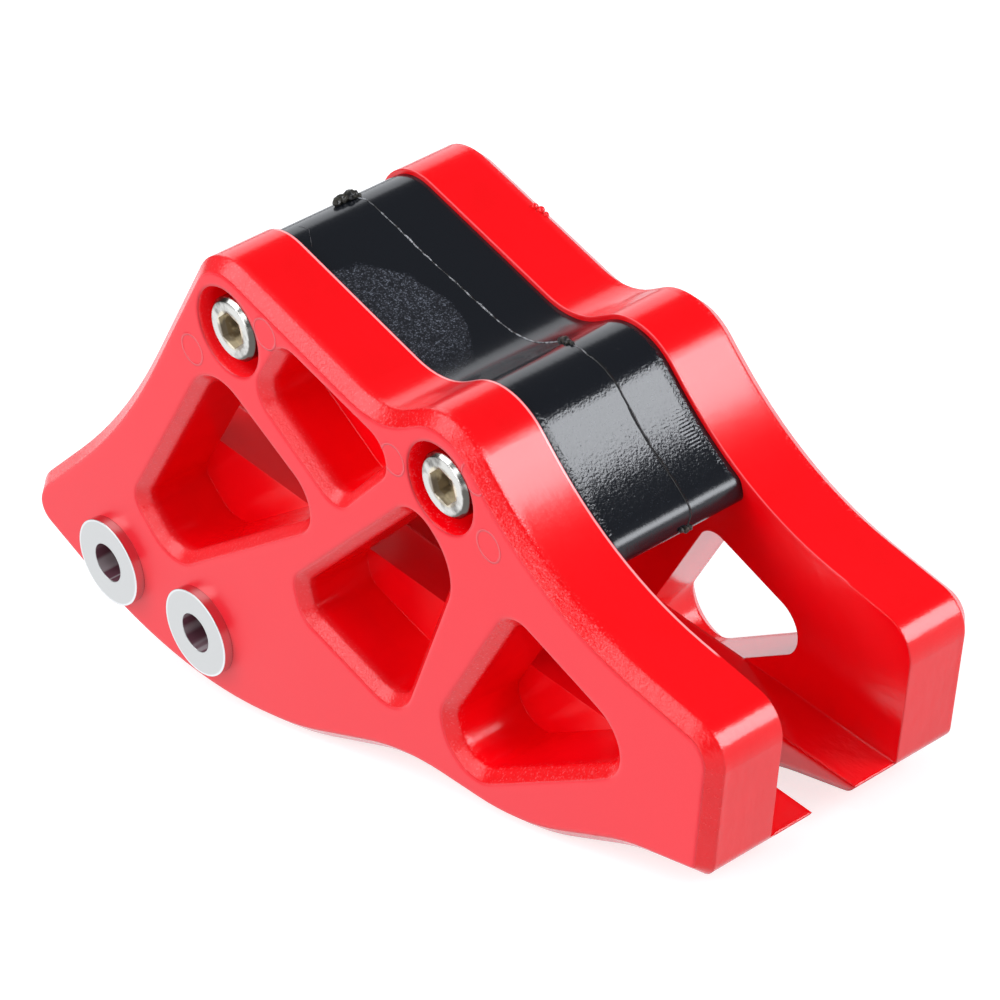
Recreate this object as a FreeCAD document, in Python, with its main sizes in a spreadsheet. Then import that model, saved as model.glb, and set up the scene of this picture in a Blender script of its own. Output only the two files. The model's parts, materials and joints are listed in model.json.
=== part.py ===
"""Motorcycle chain guide: two moulded half shells bolted together over a black wear insert.

Frame: X runs along the chain from the mounting end to the nose, Y across the guide, Z up.
The origin is on the axis of the front mounting bushes, in the mid-plane between the two shells,
and the guide stands level on its two lower bulges. Outline points in the sheet are measured
from the rear end and from the base.
"""
import FreeCAD, Part
import math
import os

import Sketcher
from FreeCAD import Placement, Rotation, Vector

doc = FreeCAD.newDocument("chain_guide")
sheet = doc.addObject("Spreadsheet::Sheet", "sizes")

# Driving sizes in millimetres: alias, value, what it is
SIZES = [
    # Overall build-up across the guide
    ("plate_thick", 12.3, "side plate, outer face to channel wall"),
    ("channel_width", 23.5, "clear width for the chain"),
    ("slit_width", 8.0, "slit between the two floor flanges"),
    # Side outline: corner points of the plate before rounding, and each corner's radius
    ("tip_low_z", 23.3, "rear tip, lower corner height"),
    ("tip_low_round", 5.0, ""),
    ("tip_top_x", 4.1, "rear tip, upper corner"),
    ("tip_top_z", 29.0, ""),
    ("tip_top_round", 8.0, ""),
    ("back_x", 32.8, "hollow of the rising back edge"),
    ("back_z", 45.3, ""),
    ("back_round", 140.0, ""),
    ("crest_x", 68.3, "rear crest over the rear bolt"),
    ("crest_z", 80.5, ""),
    ("crest_round", 9.2, ""),
    ("saddle_x", 102.3, "saddle between the two humps"),
    ("saddle_z", 60.9, ""),
    ("saddle_round", 13.5, ""),
    ("hump_x", 118.9, "front hump over the front bolt"),
    ("hump_z", 65.9, ""),
    ("hump_round", 10.6, ""),
    ("slope_x", 133.6, "hollow in the front slope"),
    ("slope_z", 40.2, ""),
    ("slope_round", 52.6, ""),
    ("nose_x", 164.5, "top of the front end"),
    ("nose_z", 26.7, ""),
    ("nose_round", 5.5, ""),
    ("chin_x", 155.6, "bottom of the front end"),
    ("chin_z", 3.9, ""),
    ("chin_round", 3.0, ""),
    ("belly_x", 139.8, "start of the front foot"),
    ("belly_round", 40.0, ""),
    ("foot_front_x", 120.6, "front foot, front end of its flat"),
    ("foot_rear_x", 110.9, "front foot, rear end of its flat"),
    ("foot_round", 44.0, ""),
    ("arch_x", 90.3, "arch between the feet"),
    ("arch_z", 4.2, ""),
    ("arch_round", 48.0, ""),
    ("heel_x", 64.1, "rear foot, front end of its flat"),
    ("heel_round", 60.0, ""),
    ("sweep_x", 32.4, "long sweep from the rear foot up to the tip"),
    ("sweep_round", 77.0, ""),
    ("rim_chamfer", 2.0, "chamfer round each shell's outer face"),
    # Channel floor: straight ramp, falling towards the nose
    ("ramp_rear_z", 49.8, "height of the ramp's line over the rear end"),
    ("ramp_front_z", 1.0, "height of the ramp's line over ramp_front_x"),
    ("ramp_front_x", 170.0, "where the ramp's line is measured"),
    # Windows: corner points and radii before the mouth's chamfer
    ("front_win_draft", 3.5, "degrees by which its walls close in towards the channel"),
    ("window_rim", 1.7, "chamfer round each window's mouth"),
    ("rear_win_left_x", 33.8, "rear window"),
    ("rear_win_left_z", 32.3, ""),
    ("rear_win_low_x", 39.2, ""),
    ("rear_win_low_z", 23.7, ""),
    ("rear_win_right_x", 82.2, ""),
    ("rear_win_right_z", 40.8, ""),
    ("rear_win_top_x", 62.3, ""),
    ("rear_win_top_z", 59.7, ""),
    ("rear_win_left_round", 2.2, ""),
    ("rear_win_low_round", 5.8, ""),
    ("rear_win_right_round", 4.4, ""),
    ("rear_win_top_round", 6.4, ""),
    ("mid_win_top_x", 106.2, "middle window"),
    ("mid_win_top_z", 47.7, ""),
    ("mid_win_right_x", 111.9, ""),
    ("mid_win_right_z", 39.7, ""),
    ("mid_win_low_x", 91.0, ""),
    ("mid_win_low_z", 12.3, ""),
    ("mid_win_left_x", 72.9, ""),
    ("mid_win_left_z", 22.9, ""),
    ("mid_win_left_top_z", 27.7, ""),
    ("mid_win_top_round", 4.0, ""),
    ("mid_win_right_round", 7.0, ""),
    ("mid_win_low_round", 5.4, ""),
    ("mid_win_left_round", 2.8, ""),
    ("front_win_top_x", 124.2, "front window"),
    ("front_win_top_z", 35.1, ""),
    ("front_win_right_x", 147.3, ""),
    ("front_win_right_z", 19.4, ""),
    ("front_win_left_x", 103.4, ""),
    ("front_win_low_z", 5.1, ""),
    ("front_win_left_z", 14.5, ""),
    ("front_win_top_round", 3.8, ""),
    ("front_win_right_round", 4.8, ""),
    ("front_win_low_round", 5.1, ""),
    ("front_win_left_round", 3.8, ""),
    ("pocket_depth", 9.5, "blind pocket between the bolts"),
    ("pocket_top_x", 82.6, ""),
    ("pocket_top_z", 66.6, ""),
    ("pocket_right_x", 103.5, ""),
    ("pocket_right_z", 54.9, ""),
    ("pocket_low_x", 87.4, ""),
    ("pocket_low_z", 44.6, ""),
    ("pocket_left_x", 74.3, ""),
    ("pocket_left_z", 58.7, ""),
    ("pocket_round", 3.0, ""),
    # Clamp bolts and nuts, metric six
    ("rear_bolt_x", 69.6, "rear clamp bolt axis"),
    ("rear_bolt_z", 67.3, ""),
    ("front_bolt_x", 114.1, "front clamp bolt axis"),
    ("front_bolt_z", 53.0, ""),
    ("bolt_dia", 6.0, ""),
    ("bolt_clearance", 0.4, "bolt hole over bolt diameter"),
    ("bolt_length", 40.0, "under the head"),
    ("head_dia", 10.0, ""),
    ("head_height", 6.0, ""),
    ("head_chamfer", 0.6, ""),
    ("socket_flats", 5.0, "hexagon socket across flats"),
    ("socket_depth", 3.0, ""),
    ("bolt_end_chamfer", 0.7, ""),
    ("recess_dia", 14.0, "counterbore for each bolt head"),
    ("recess_depth", 6.5, "counterbore and nut pocket depth"),
    ("nut_flats", 10.0, ""),
    ("nut_height", 5.0, ""),
    ("nut_chamfer", 0.7, "corner chamfer across the nut's outward face"),
    ("nut_chamfer_height", 0.4, ""),
    ("nut_clearance", 0.3, "nut pocket over the nut's flats"),
    # Mounting bushes
    ("rear_bush_x", 22.5, "rear mounting bush axis"),
    ("rear_bush_z", 19.6, ""),
    ("front_bush_x", 43.3, "front mounting bush axis"),
    ("front_bush_z", 12.95, ""),
    ("bush_bore", 6.4, "passes a metric six bolt"),
    ("bush_dia", 10.0, "press fit in the shell"),
    ("bush_flange_dia", 14.4, ""),
    ("bush_flange_thick", 1.6, ""),
    # Wear insert
    ("insert_inset", 0.7, "insert's top below the shells' top edge"),
    ("insert_front_x", 133.5, "foremost point of the insert's lip"),
    ("insert_lip_height", 4.3, "upright front face, before its edges are rounded"),
    ("insert_lip_round", 1.8, ""),
    ("insert_lead_round", 6.0, "lead-in at the mounting end"),
]

rows_used = 0


def add_size(alias, value, note):
    """Put one size on the next row of the sheet."""
    global rows_used
    rows_used += 1
    sheet.set(f"A{rows_used}", note or alias.replace("_", " "))
    sheet.set(f"B{rows_used}", str(value))
    sheet.setAlias(f"B{rows_used}", alias)
    sheet.recompute()


for entry in SIZES:
    add_size(*entry)
doc.recompute()


def size(alias):
    """Value of one driving size."""
    return float(getattr(sheet, alias))


def ref(alias):
    """Expression that reads one driving size."""
    return f"sizes.{alias}"


FLOOR_WIDTH = "(sizes.channel_width - sizes.slit_width) / 2"
HALF_WIDTH = "(sizes.channel_width / 2 + sizes.plate_thick)"
RAMP_FALL = "((sizes.ramp_rear_z - sizes.ramp_front_z) / sizes.ramp_front_x)"
TOLERANCE = 0.02
BEYOND = 10  # how far a cut reaches past the material


def evaluate(expression):
    """Number that an expression over the sheet's aliases gives."""
    return float(sheet.evalExpression(expression.replace("sizes.", "")))


def add_body(name, x="0", y="0", z="0", rotation=None):
    """New body, placed by expressions; its own datum is the rear end and the base."""
    body = doc.addObject("PartDesign::Body", name)
    body.Label = name
    if rotation is not None:
        body.Placement = Placement(Vector(0, 0, 0), rotation)
    for axis, expression in (("x", x), ("y", y), ("z", z)):
        body.setExpression(f"Placement.Base.{axis}", expression)
    return body


def add_sketch(body, name, plane="XZ_Plane", depth=None):
    """Empty sketch on one of the body's origin planes; depth shifts it along +Y."""
    sketch = body.newObject("Sketcher::SketchObject", name)
    for feature in body.Origin.OriginFeatures:
        if feature.Role == plane:
            sketch.AttachmentSupport = [(feature, "")]
    sketch.MapMode = "FlatFace"
    if depth:
        sketch.setExpression("AttachmentOffset.Base.z", f"-({depth})")
    return sketch


def polygon(sketch, corners):
    """Closed polygon whose corners are pairs of expressions, each bound to the sheet."""
    points = [Vector(evaluate(u), evaluate(v), 0) for u, v in corners]
    first = sketch.GeometryCount
    count = len(points)
    for i in range(count):
        sketch.addGeometry(Part.LineSegment(points[i], points[(i + 1) % count]), False)
    for i in range(count):
        line, following = first + i, first + (i + 1) % count
        sketch.addConstraint(Sketcher.Constraint("Coincident", line, 2, following, 1))
    for i, (u, v) in enumerate(corners):
        for kind, expression, axis in (("DistanceX", u, -2), ("DistanceY", v, -1)):
            if expression == "0":
                sketch.addConstraint(Sketcher.Constraint("PointOnObject", first + i, 1, axis))
                continue
            number = sketch.addConstraint(
                Sketcher.Constraint(kind, -1, 1, first + i, 1, evaluate(expression)))
            sketch.renameConstraint(number, f"{kind[-1].lower()}_{first + i}")
            sketch.setExpression(f"Constraints.{kind[-1].lower()}_{first + i}", expression)
    return corners


def circle(sketch, x, y, diameter):
    """Circle with its centre and diameter bound to the sheet."""
    number = sketch.addGeometry(Part.Circle(Vector(evaluate(x), evaluate(y), 0),
                                            Vector(0, 0, 1), evaluate(diameter) / 2), False)
    for kind, expression in (("DistanceX", x), ("DistanceY", y)):
        if expression == "0":
            continue
        constraint = sketch.addConstraint(
            Sketcher.Constraint(kind, -1, 1, number, 3, evaluate(expression)))
        sketch.renameConstraint(constraint, f"{kind[-1].lower()}_{number}")
        sketch.setExpression(f"Constraints.{kind[-1].lower()}_{number}", expression)
    if x == "0" and y == "0":
        sketch.addConstraint(Sketcher.Constraint("Coincident", number, 3, -1, 1))
    constraint = sketch.addConstraint(
        Sketcher.Constraint("Diameter", number, evaluate(diameter)))
    sketch.renameConstraint(constraint, f"diameter_{number}")
    sketch.setExpression(f"Constraints.diameter_{number}", diameter)


def corner_reach(flats):
    """Centre to corner of a regular hexagon of this size across flats."""
    return f"({flats}) / sqrt(3)"


def hexagon(sketch, x, y, flats):
    """Regular hexagon standing on a corner, its size across flats bound to the sheet."""
    centre = Vector(evaluate(x), evaluate(y), 0)
    reach = corner_reach(flats)
    guide = sketch.addGeometry(Part.Circle(centre, Vector(0, 0, 1), evaluate(reach)), True)
    corners = [centre + Rotation(Vector(0, 0, 1), 30 + 60 * i).multVec(
        Vector(evaluate(reach), 0, 0)) for i in range(6)]
    first = sketch.GeometryCount
    for i in range(6):
        sketch.addGeometry(Part.LineSegment(corners[i], corners[(i + 1) % 6]), False)
    for i in range(6):
        following = first + (i + 1) % 6
        sketch.addConstraint(Sketcher.Constraint("Coincident", first + i, 2, following, 1))
        sketch.addConstraint(Sketcher.Constraint("PointOnObject", first + i, 1, guide))
        if i:
            sketch.addConstraint(Sketcher.Constraint("Equal", first, first + i))
    sketch.addConstraint(Sketcher.Constraint("Vertical", first + 5))
    if x == "0" and y == "0":
        sketch.addConstraint(Sketcher.Constraint("Coincident", guide, 3, -1, 1))
    else:
        for kind, expression in (("DistanceX", x), ("DistanceY", y)):
            number = sketch.addConstraint(
                Sketcher.Constraint(kind, -1, 1, guide, 3, evaluate(expression)))
            sketch.renameConstraint(number, f"centre_{kind[-1].lower()}")
            sketch.setExpression(f"Constraints.centre_{kind[-1].lower()}", expression)
    number = sketch.addConstraint(Sketcher.Constraint("Radius", guide, evaluate(reach)))
    sketch.renameConstraint(number, "reach")
    sketch.setExpression("Constraints.reach", reach)


def pad(body, sketch, length, towards_plus_y):
    """Pad a sketch of the XZ plane, whose own normal points to -Y."""
    feature = body.newObject("PartDesign::Pad", sketch.Name + "_pad")
    feature.Profile = sketch
    feature.setExpression("Length", length)
    feature.Reversed = towards_plus_y
    doc.recompute()
    return feature


def pocket(body, sketch, depth, towards_plus_y, draft=None):
    """Pocket a sketch of the XZ plane, narrowing with a draft; it must take material away."""
    before = body.Shape.Volume
    feature = body.newObject("PartDesign::Pocket", sketch.Name + "_pocket")
    feature.Profile = sketch
    feature.setExpression("Length", depth)
    if draft:
        feature.setExpression("TaperAngle", f"-{draft}")
    feature.Reversed = not towards_plus_y
    doc.recompute()
    if body.Shape.Volume > before - TOLERANCE:
        raise RuntimeError(f"{feature.Name} cuts nothing")
    return feature


def cross_edges(body, u, v):
    """Names of the edges that run across the guide from one outline point of the body."""
    found = []
    for number, edge in enumerate(body.Tip.Shape.Edges, start=1):
        ends = [vertex.Point for vertex in edge.Vertexes]
        if (len(ends) == 2 and abs(ends[0].y - ends[1].y) > TOLERANCE
                and any(abs(p.x - u) < TOLERANCE and abs(p.z - v) < TOLERANCE for p in ends)):
            found.append(f"Edge{number}")
    return found


def fillet(body, name, corner, radius):
    """Round one corner of an outline."""
    edges = cross_edges(body, evaluate(corner[0]), evaluate(corner[1]))
    if not edges:
        raise RuntimeError(f"{name}: no edge stands on its corner")
    base = body.Tip
    feature = body.newObject("PartDesign::Fillet", name)
    feature.Base = (base, edges)
    feature.setExpression("Radius", radius)
    doc.recompute()


def chamfer(body, name, wanted, measure):
    """Chamfer every edge for which wanted(edge) holds."""
    edges = [f"Edge{number}" for number, edge in enumerate(body.Tip.Shape.Edges, start=1)
             if wanted(edge)]
    if not edges:
        raise RuntimeError(f"{name}: no edge to work on")
    base = body.Tip
    feature = body.newObject("PartDesign::Chamfer", name)
    feature.Base = (base, edges)
    feature.setExpression("Size", measure)
    doc.recompute()


def lies_at_depth(edge, depth):
    """True if the whole edge lies in the plane y = depth of its body."""
    box = edge.BoundBox
    return abs(box.YMin - depth) < TOLERANCE and abs(box.YMax - depth) < TOLERANCE


def within(corners, point):
    """True if a point lies in a convex, clockwise outline or on its edge."""
    for (u, v), (next_u, next_v) in zip(corners, corners[1:] + corners[:1]):
        across = (point.z - v) * (next_u - u) - (point.x - u) * (next_v - v)
        if across / math.hypot(next_u - u, next_v - v) > TOLERANCE:
            return False
    return True


# Corner points of the side outline, from the rear tip over the top and back along the base
OUTLINE = [
    ("tip_low", "0", ref("tip_low_z")),
    ("tip_top", ref("tip_top_x"), ref("tip_top_z")),
    ("back", ref("back_x"), ref("back_z")),
    ("crest", ref("crest_x"), ref("crest_z")),
    ("saddle", ref("saddle_x"), ref("saddle_z")),
    ("hump", ref("hump_x"), ref("hump_z")),
    ("slope", ref("slope_x"), ref("slope_z")),
    ("nose", ref("nose_x"), ref("nose_z")),
    ("chin", ref("chin_x"), ref("chin_z")),
    ("belly", ref("belly_x"), ref("chin_z")),
    ("foot_front", ref("foot_front_x"), "0"),
    ("foot_rear", ref("foot_rear_x"), "0"),
    ("arch", ref("arch_x"), ref("arch_z")),
    ("heel", ref("heel_x"), "0"),
    ("sweep", ref("sweep_x"), "0"),
]
RADIUS_OF = {"foot_front": "foot_round", "foot_rear": "foot_round"}

# Windows: name, depth, draft, then each corner's point and radius
WINDOWS = [
    ("rear_window", ref("plate_thick"), None, [
        (ref("rear_win_left_x"), ref("rear_win_left_z"), "rear_win_left_round"),
        (ref("rear_win_top_x"), ref("rear_win_top_z"), "rear_win_top_round"),
        (ref("rear_win_right_x"), ref("rear_win_right_z"), "rear_win_right_round"),
        (ref("rear_win_low_x"), ref("rear_win_low_z"), "rear_win_low_round")]),
    ("middle_window", ref("plate_thick"), None, [
        (ref("mid_win_left_x"), ref("mid_win_left_z"), "mid_win_left_round"),
        (ref("mid_win_left_x"), ref("mid_win_left_top_z"), "mid_win_left_round"),
        (ref("mid_win_top_x"), ref("mid_win_top_z"), "mid_win_top_round"),
        (ref("mid_win_right_x"), ref("mid_win_right_z"), "mid_win_right_round"),
        (ref("mid_win_low_x"), ref("mid_win_low_z"), "mid_win_low_round")]),
    ("front_window", ref("plate_thick"), ref("front_win_draft"), [
        (ref("front_win_left_x"), ref("front_win_low_z"), "front_win_low_round"),
        (ref("front_win_left_x"), ref("front_win_left_z"), "front_win_left_round"),
        (ref("front_win_top_x"), ref("front_win_top_z"), "front_win_top_round"),
        (ref("front_win_right_x"), ref("front_win_right_z"), "front_win_right_round")]),
    ("blind_pocket", ref("pocket_depth"), None, [
        (ref("pocket_left_x"), ref("pocket_left_z"), "pocket_round"),
        (ref("pocket_top_x"), ref("pocket_top_z"), "pocket_round"),
        (ref("pocket_right_x"), ref("pocket_right_z"), "pocket_round"),
        (ref("pocket_low_x"), ref("pocket_low_z"), "pocket_round")]),
]
BOLTS = ["rear_bolt", "front_bolt"]
BUSHES = ["rear_bush", "front_bush"]
DATUM_X = "-sizes.front_bush_x"
DATUM_Z = "-sizes.front_bush_z"


def make_shell(name, side):
    """One moulded half; side is -1 for the bolt heads' half and +1 for the nuts' half.

    Its body's y = 0 is the outer face and the material runs towards the mid-plane.
    """
    inward = side < 0
    sign = 1 if inward else -1
    body = add_body(name, DATUM_X, f"{side} * {HALF_WIDTH}", DATUM_Z)

    # Full-depth block with the side outline
    outline = add_sketch(body, name + "_outline")
    polygon(outline, [(u, v) for _, u, v in OUTLINE])
    pad(body, outline, f"sizes.plate_thick + {FLOOR_WIDTH}", inward)
    for corner, u, v in OUTLINE:
        fillet(body, f"{name}_{corner}_fillet", (u, v),
               ref(RADIUS_OF.get(corner, corner + "_round")))
    chamfer(body, name + "_rim", lambda edge: lies_at_depth(edge, 0),
          ref("rim_chamfer"))

    # Three windows as deep as the plate, and a shallower pocket between the bolts
    for window, depth, draft, corners in WINDOWS:
        sketch = add_sketch(body, f"{name}_{window}")
        polygon(sketch, [(u, v) for u, v, _ in corners])
        pocket(body, sketch, depth, inward, draft)
        for number, (u, v, radius) in enumerate(corners):
            fillet(body, f"{name}_{window}_corner_{number}", (u, v), ref(radius))
        mouth = [(evaluate(u), evaluate(v)) for u, v, _ in corners]

        def at_mouth(edge):
            """Edges of this window's mouth."""
            return lies_at_depth(edge, 0) and within(mouth, edge.CenterOfMass)

        chamfer(body, f"{name}_{window}_rim", at_mouth, ref("window_rim"))

    # Channel for the chain and the insert: it takes everything over the ramp, inside the plate,
    # and so opens the windows' upper parts
    inner = f"{sign} * sizes.plate_thick"
    channel = add_sketch(body, name + "_channel", depth=inner)
    polygon(channel, [("0", ref("ramp_rear_z")), ("0", f"sizes.crest_z + {BEYOND}"),
                      (ref("ramp_front_x"), f"sizes.crest_z + {BEYOND}"),
                      (ref("ramp_front_x"), ref("ramp_front_z"))])
    pocket(body, channel, "sizes.channel_width", inward)

    # Clamp bolt holes, with counterbores for the heads or hexagon pockets for the nuts
    holes = add_sketch(body, name + "_bolt_holes")
    for bolt in BOLTS:
        circle(holes, ref(bolt + "_x"), ref(bolt + "_z"), "sizes.bolt_dia + sizes.bolt_clearance")
    pocket(body, holes, f"sizes.plate_thick + {BEYOND}", inward)
    for bolt in BOLTS:
        recess = add_sketch(body, f"{name}_{bolt}_recess")
        if inward:
            circle(recess, ref(bolt + "_x"), ref(bolt + "_z"), ref("recess_dia"))
        else:
            hexagon(recess, ref(bolt + "_x"), ref(bolt + "_z"),
                    "sizes.nut_flats + sizes.nut_clearance")
        pocket(body, recess, ref("recess_depth"), inward)

    # Bores for the mounting bushes, through plate and floor flange
    bores = add_sketch(body, name + "_bush_bores")
    for bush in BUSHES:
        circle(bores, ref(bush + "_x"), ref(bush + "_z"), ref("bush_dia"))
    pocket(body, bores, f"sizes.plate_thick + {FLOOR_WIDTH} + {BEYOND}", inward)
    return body


def inset_corner(corner):
    """Sheet cells for an outline corner moved into the material by the insert's inset."""
    names = [name for name, _, _ in OUTLINE]
    at = names.index(corner)
    (u0, v0), (u, v), (u2, v2) = [OUTLINE[at + step][1:] for step in (-1, 0, 1)]
    arrive = f"sqrt(({u} - {u0})^2 + ({v} - {v0})^2)"
    leave = f"sqrt(({u2} - {u})^2 + ({v2} - {v})^2)"
    normals = [(f"(({v} - {v0}) / {arrive})", f"(({u0} - {u}) / {arrive})"),
               (f"(({v2} - {v}) / {leave})", f"(({u} - {u2}) / {leave})")]
    (nu, nv), (mu, mv) = normals
    share = f"sizes.insert_inset / (1 + {nu} * {mu} + {nv} * {mv})"
    for axis, start, n, m in (("x", u, nu, mu), ("z", v, nv, mv)):
        formula = f"{start} + ({n} + {m}) * {share}".replace("sizes.", "")
        add_size(f"insert_{corner}_{axis}", "=" + formula, f"insert's {corner}, worked out")
    return ref(f"insert_{corner}_x"), ref(f"insert_{corner}_z")


def make_insert():
    """Black wear block between the plates; its lower face is what the chain rubs on."""
    name = "wear_insert"
    body = add_body(name, DATUM_X, "-sizes.channel_width / 2", DATUM_Z)
    corners = {corner: inset_corner(corner)
               for corner in ("back", "crest", "saddle", "hump", "slope", "nose")}
    block = add_sketch(body, name + "_block")
    polygon(block, [*corners.values(), (corners["nose"][0], ref("chin_z")),
                    (corners["back"][0], ref("chin_z"))])
    pad(body, block, ref("channel_width"), True)
    for corner in ("crest", "saddle", "hump", "slope"):
        bend = "-" if corner in ("crest", "hump") else "+"
        fillet(body, f"{name}_{corner}_fillet", corners[corner],
               f"sizes.{corner}_round {bend} sizes.insert_inset")

    # The wear face runs parallel to the ramp and leaves the lip its height at the front
    front = ref("insert_front_x")
    middle = size("channel_width") / 2
    upright = Part.makeLine(Vector(size("insert_front_x"), middle, 0),
                            Vector(size("insert_front_x"), middle, size("crest_z")))
    add_size("lip_top_z", body.Tip.Shape.common(upright).BoundBox.ZMax, "top of the lip, worked out")
    wear = "(sizes.lip_top_z - sizes.insert_lip_height + {0} * (sizes.insert_front_x - %s))"
    wear = wear.format(RAMP_FALL)
    trim = add_sketch(body, name + "_trim")
    polygon(trim, [("0", wear % "0"), (front, wear % front), (front, "sizes.crest_z"),
                   (f"sizes.nose_x + {BEYOND}", "sizes.crest_z"), (f"sizes.nose_x + {BEYOND}", "0"),
                   ("0", "0")])
    pocket(body, trim, f"sizes.channel_width + {BEYOND}", True)

    # Rounded lip at the front, lead-in at the mounting end
    fillet(body, name + "_lip_low", (front, wear % front), ref("insert_lip_round"))
    fillet(body, name + "_lip_top", (front, ref("lip_top_z")), ref("insert_lip_round"))
    lead = min((e.Vertexes[0].Point for e in body.Tip.Shape.Edges
                if len(e.Vertexes) == 2
                and abs(e.Vertexes[0].Y - e.Vertexes[1].Y) > TOLERANCE),
               key=lambda p: p.x)
    fillet(body, name + "_lead_in", (str(lead.x), str(lead.z)), ref("insert_lead_round"))

    holes = add_sketch(body, name + "_holes")
    for bolt in BOLTS:
        circle(holes, ref(bolt + "_x"), ref(bolt + "_z"), "sizes.bolt_dia + sizes.bolt_clearance")
    pocket(body, holes, f"sizes.channel_width + {BEYOND}", True)
    return body


def revolve(body, sketch):
    """Turn a profile of the XY plane about the body's Y axis."""
    feature = body.newObject("PartDesign::Revolution", sketch.Name + "_turned")
    feature.Profile = sketch
    feature.ReferenceAxis = (sketch, ["V_Axis"])
    feature.Angle = 360
    doc.recompute()


def circle_at(edge, radius, depth):
    """True if the edge is a circle of this radius about Y in the plane y = depth."""
    return (lies_at_depth(edge, depth) and isinstance(edge.Curve, Part.Circle)
            and abs(edge.Curve.Radius - radius) < TOLERANCE)


def make_bush(name, position, side):
    """Flanged mounting bush, pressed into one shell from outside."""
    turn = Rotation(Vector(0, 0, 1), 0 if side < 0 else 180)
    body = add_body(name, f"{DATUM_X} + sizes.{position}_x",
                    f"{side} * ({HALF_WIDTH} + sizes.bush_flange_thick)",
                    f"{DATUM_Z} + sizes.{position}_z", turn)
    length = f"sizes.bush_flange_thick + sizes.plate_thick + {FLOOR_WIDTH}"
    profile = add_sketch(body, name + "_profile", "XY_Plane")
    polygon(profile, [("sizes.bush_bore / 2", "0"), ("sizes.bush_flange_dia / 2", "0"),
                      ("sizes.bush_flange_dia / 2", "sizes.bush_flange_thick"),
                      ("sizes.bush_dia / 2", "sizes.bush_flange_thick"),
                      ("sizes.bush_dia / 2", length), ("sizes.bush_bore / 2", length)])
    revolve(body, profile)
    return body


def make_bolt(name):
    """Hexagon socket head bolt, its head's top at the body's y = 0."""
    body = add_body(name, f"{DATUM_X} + sizes.{name}_x",
                    f"-{HALF_WIDTH} + sizes.recess_depth - sizes.head_height",
                    f"{DATUM_Z} + sizes.{name}_z")
    end = "sizes.head_height + sizes.bolt_length"
    profile = add_sketch(body, name + "_profile", "XY_Plane")
    polygon(profile, [("0", "0"), ("sizes.head_dia / 2", "0"),
                      ("sizes.head_dia / 2", "sizes.head_height"),
                      ("sizes.bolt_dia / 2", "sizes.head_height"),
                      ("sizes.bolt_dia / 2", end), ("0", end)])
    revolve(body, profile)
    socket = add_sketch(body, name + "_socket")
    hexagon(socket, "0", "0", ref("socket_flats"))
    pocket(body, socket, ref("socket_depth"), True)
    chamfer(body, name + "_head_edge",
          lambda edge: circle_at(edge, size("head_dia") / 2, 0), ref("head_chamfer"))
    chamfer(body, name + "_end",
          lambda edge: circle_at(edge, size("bolt_dia") / 2, evaluate(end)),
          ref("bolt_end_chamfer"))
    return body


def make_nut(name, bolt):
    """Hexagon nut on the bolt's end, seated at the bottom of its pocket."""
    across = f"{HALF_WIDTH} - sizes.recess_depth"
    prism = doc.addObject("Part::Prism", name + "_prism")
    prism.Polygon = 6
    prism.setExpression("Circumradius", corner_reach("sizes.nut_flats"))
    prism.setExpression("Height", ref("nut_height"))
    prism.Placement = Placement(Vector(0, 0, 0), Rotation(Vector(0, 0, 1), 0))
    blank = doc.addObject("Part::Cylinder", name + "_blank")
    blank.setExpression("Radius", corner_reach("sizes.nut_flats"))
    blank.setExpression("Height", ref("nut_height"))
    doc.recompute()
    rounded = doc.addObject("Part::Chamfer", name + "_rounded")
    rounded.Base = blank
    rounded.Edges = [(number, size("nut_chamfer_height"), size("nut_chamfer"))
                     for number, edge in enumerate(blank.Shape.Edges, start=1)
                     if isinstance(edge.Curve, Part.Circle)
                     and edge.BoundBox.ZMin > size("nut_height") - TOLERANCE]
    body = doc.addObject("Part::Common", name + "_hexagon")
    body.Base, body.Tool = prism, rounded
    bore = doc.addObject("Part::Cylinder", name + "_bore")
    bore.setExpression("Radius", "sizes.bolt_dia / 2")
    bore.setExpression("Height", ref("nut_height"))
    nut = doc.addObject("Part::Cut", name)
    nut.Label = name
    nut.Base, nut.Tool = body, bore
    nut.Placement = Placement(Vector(0, 0, 0), Rotation(Vector(1, 0, 0), -90)
                              * Rotation(Vector(0, 0, 1), 30))
    nut.setExpression("Placement.Base.x", f"{DATUM_X} + sizes.{bolt}_x")
    nut.setExpression("Placement.Base.y", across)
    nut.setExpression("Placement.Base.z", f"{DATUM_Z} + sizes.{bolt}_z")
    doc.recompute()
    return nut


nodes = [make_shell("bolt_side_shell", -1), make_shell("nut_side_shell", 1), make_insert()]
for bolt in BOLTS:
    nodes.append(make_bolt(bolt))
    nodes.append(make_nut(bolt.replace("bolt", "nut"), bolt))
for side, half in ((-1, "bolt_side"), (1, "nut_side")):
    for bush in BUSHES:
        nodes.append(make_bush(f"{half}_{bush}", bush, side))
doc.recompute()

for item in doc.Objects:
    if "Invalid" in item.State or "Error" in item.State:
        raise RuntimeError(f"{item.Name} failed: {item.State}")
for node in nodes:
    if node.Shape.isNull() or not node.Shape.isValid() or len(node.Shape.Solids) != 1:
        raise RuntimeError(f"{node.Label} isn't one valid solid")

os.makedirs("parts", exist_ok=True)
for node in nodes:
    node.Shape.exportStep(os.path.join("parts", node.Label + ".step"))
    box = node.Shape.BoundBox
    print(f"{node.Label}: {node.Shape.Volume:.0f} mm3, x {box.XMin:.2f} {box.XMax:.2f}, "
          f"y {box.YMin:.2f} {box.YMax:.2f}, z {box.ZMin:.2f} {box.ZMax:.2f}")
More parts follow.
